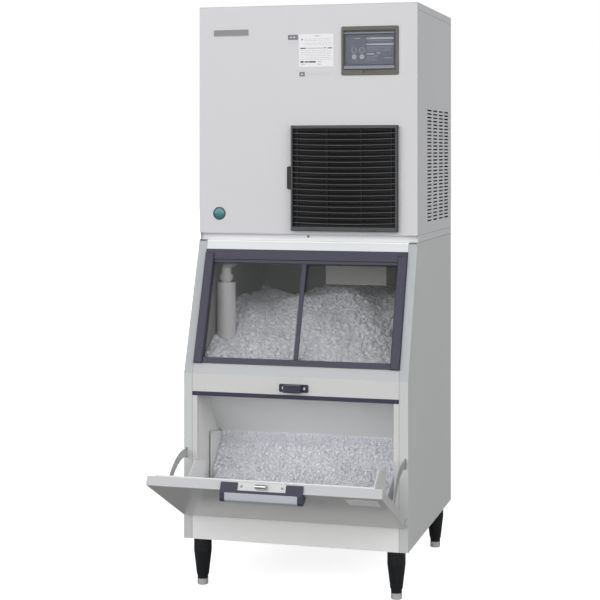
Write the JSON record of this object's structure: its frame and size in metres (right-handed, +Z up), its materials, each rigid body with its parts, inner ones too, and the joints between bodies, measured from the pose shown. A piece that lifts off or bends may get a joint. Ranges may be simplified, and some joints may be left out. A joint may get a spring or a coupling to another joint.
{
  "type": "ice machine",
  "caption": "Free-standing ice maker on an insulated bin with sliding windows and a tilt-out scoop door on arc stays, standing on levelling feet.",
  "frame": {"origin": "on the floor under the middle of the whole machine as it stands, with its door open", "axes": "+Z up, +X to the right seen from the front, -Y out of the front"},
  "size_m": [0.7, 1.087, 1.79],
  "materials": {
    "painted_steel": "satin grey coated steel sheet",
    "front_steel": "satin steel sheet with a clear coat",
    "tub": "cream moulded lining on foam",
    "white_plastic": "white moulded plastic",
    "navy_plastic": "dark blue moulded plastic",
    "clear_pane": "clear sheet",
    "clear_cover": "smoked clear moulding",
    "taupe_plastic": "taupe moulded plastic",
    "slate_film": "slate keypad film",
    "key_dark": "slate key",
    "key_light": "pale key",
    "grille_plastic": "near-black moulded plastic",
    "grip_plastic": "blue-grey moulded plastic",
    "steel": "brushed stainless steel",
    "bright_steel": "bright plated steel",
    "leg_black": "black coated metal",
    "machine_black": "black enamel",
    "fins": "aluminium fins",
    "zinc_sheet": "zinc-coated sheet",
    "tank_plastic": "natural moulded plastic",
    "ice": "chipped ice"
  },
  "bodies": {
    "root": {"bin_floor": "painted_steel", "bin_left_panel": "painted_steel", "bin_rear_panel": "painted_steel", "bin_right_panel": "painted_steel", "bin_tub": "tub", "compressor": "machine_black", "condenser": "fins", "control_bezel": "taupe_plastic", "control_box": "zinc_sheet", "drain_sleeve": "white_plastic", "evaporator_barrel": "steel", "fan_shroud": "machine_black", "gear_motor": "steel", "head_base": "front_steel", "head_front_panel": "front_steel", "head_left_panel": "painted_steel", "head_rear_panel": "painted_steel", "head_right_panel": "painted_steel", "head_top_cover": "painted_steel", "ice": "ice", "ice_baffle": "steel", "ice_chute": "steel", "ice_guards": "white_plastic", "keypad_plate": "slate_film", "kick_panel": "front_steel", "legs": "leg_black", "louvre_grille": "grille_plastic", "middle_panel": "front_steel", "opening_surround": "front_steel", "opening_trim": "navy_plastic", "rear_fittings": "bright_steel", "strike": "navy_plastic", "top_header": "front_steel", "water_tank": "tank_plastic", "window_cross_rails": "navy_plastic", "window_side_rails": "navy_plastic"},
    "door": {"door_panel": "front_steel", "door_liner": "white_plastic", "door_guards": "white_plastic", "door_stays": "steel", "handle_bracket": "navy_plastic", "handle_grip": "grip_plastic", "latch_plate": "steel"},
    "latch": {"latch_bolt": "bright_steel"},
    "cover": {"control_cover": "clear_cover"},
    "filter": {"air_filter": "grille_plastic"},
    "fan": {"fan_blades": "fins"},
    "auger": {"auger": "steel"},
    "float": {"water_float": "tank_plastic"},
    "front_pane": {"front_pane": "clear_pane", "pane_stile": "navy_plastic"},
    "rear_pane": {"rear_pane": "clear_pane"},
    "key_upper_left": {"key_upper_left": "key_dark"},
    "key_upper_right": {"key_upper_right": "key_dark"},
    "key_lower_left": {"key_lower_left": "key_light"},
    "key_lower_right": {"key_lower_right": "key_light"},
    "foot_front_left": {"foot_front_left": "bright_steel"},
    "foot_front_right": {"foot_front_right": "bright_steel"},
    "foot_rear_left": {"foot_rear_left": "bright_steel"},
    "foot_rear_right": {"foot_rear_right": "bright_steel"}
  },
  "joints": [
    {"name": "door_hinge", "type": "hinge", "parent": "root", "child": "door", "pos_m": [0, -0.20949, 0.2425], "axis": [-1, 0, 0], "range_deg": [0, 64]},
    {"name": "latch_slide", "type": "slide", "parent": "door", "child": "latch", "axis": [0, 0.8988, -0.4384], "range_m": [0, 0.006], "stiffness_N_per_m": 400},
    {"name": "cover_hinge", "type": "hinge", "parent": "root", "child": "cover", "pos_m": [0, -0.04924, 1.704], "axis": [-1, 0, 0], "range_deg": [0, 100]},
    {"name": "filter_slide", "type": "slide", "parent": "root", "child": "filter", "axis": [-1, 0, 0], "range_m": [0, 0.33]},
    {"name": "fan_spin", "type": "hinge", "parent": "root", "child": "fan", "pos_m": [0.1225, 0.06151, 1.253], "axis": [0, 1, 0], "continuous": true},
    {"name": "auger_spin", "type": "hinge", "parent": "root", "child": "auger", "pos_m": [-0.17, 0.25351, 1.225], "axis": [0, 0, 1], "continuous": true},
    {"name": "float_slide", "type": "slide", "parent": "root", "child": "float", "axis": [0, 0, 1], "range_m": [0, 0.04]},
    {"name": "front_pane_slide", "type": "slide", "parent": "root", "child": "front_pane", "axis": [1, 0, 0], "range_m": [0, 0.285]},
    {"name": "rear_pane_slide", "type": "slide", "parent": "root", "child": "rear_pane", "axis": [-1, 0, 0], "range_m": [0, 0.285]},
    {"name": "key_upper_left_press", "type": "slide", "parent": "root", "child": "key_upper_left", "axis": [0, 1, 0], "range_m": [0, 0.001], "stiffness_N_per_m": 300},
    {"name": "key_upper_right_press", "type": "slide", "parent": "root", "child": "key_upper_right", "axis": [0, 1, 0], "range_m": [0, 0.001], "stiffness_N_per_m": 300},
    {"name": "key_lower_left_press", "type": "slide", "parent": "root", "child": "key_lower_left", "axis": [0, 1, 0], "range_m": [0, 0.001], "stiffness_N_per_m": 300},
    {"name": "key_lower_right_press", "type": "slide", "parent": "root", "child": "key_lower_right", "axis": [0, 1, 0], "range_m": [0, 0.001], "stiffness_N_per_m": 300},
    {"name": "foot_front_left_turn", "type": "hinge", "parent": "root", "child": "foot_front_left", "pos_m": [-0.305, -0.14349, 0], "axis": [0, 0, 1], "continuous": true},
    {"name": "foot_front_right_turn", "type": "hinge", "parent": "root", "child": "foot_front_right", "pos_m": [0.305, -0.14349, 0], "axis": [0, 0, 1], "continuous": true},
    {"name": "foot_rear_left_turn", "type": "hinge", "parent": "root", "child": "foot_rear_left", "pos_m": [-0.305, 0.49351, 0], "axis": [0, 0, 1], "continuous": true},
    {"name": "foot_rear_right_turn", "type": "hinge", "parent": "root", "child": "foot_rear_right", "pos_m": [0.305, 0.49351, 0], "axis": [0, 0, 1], "continuous": true}
  ]
}
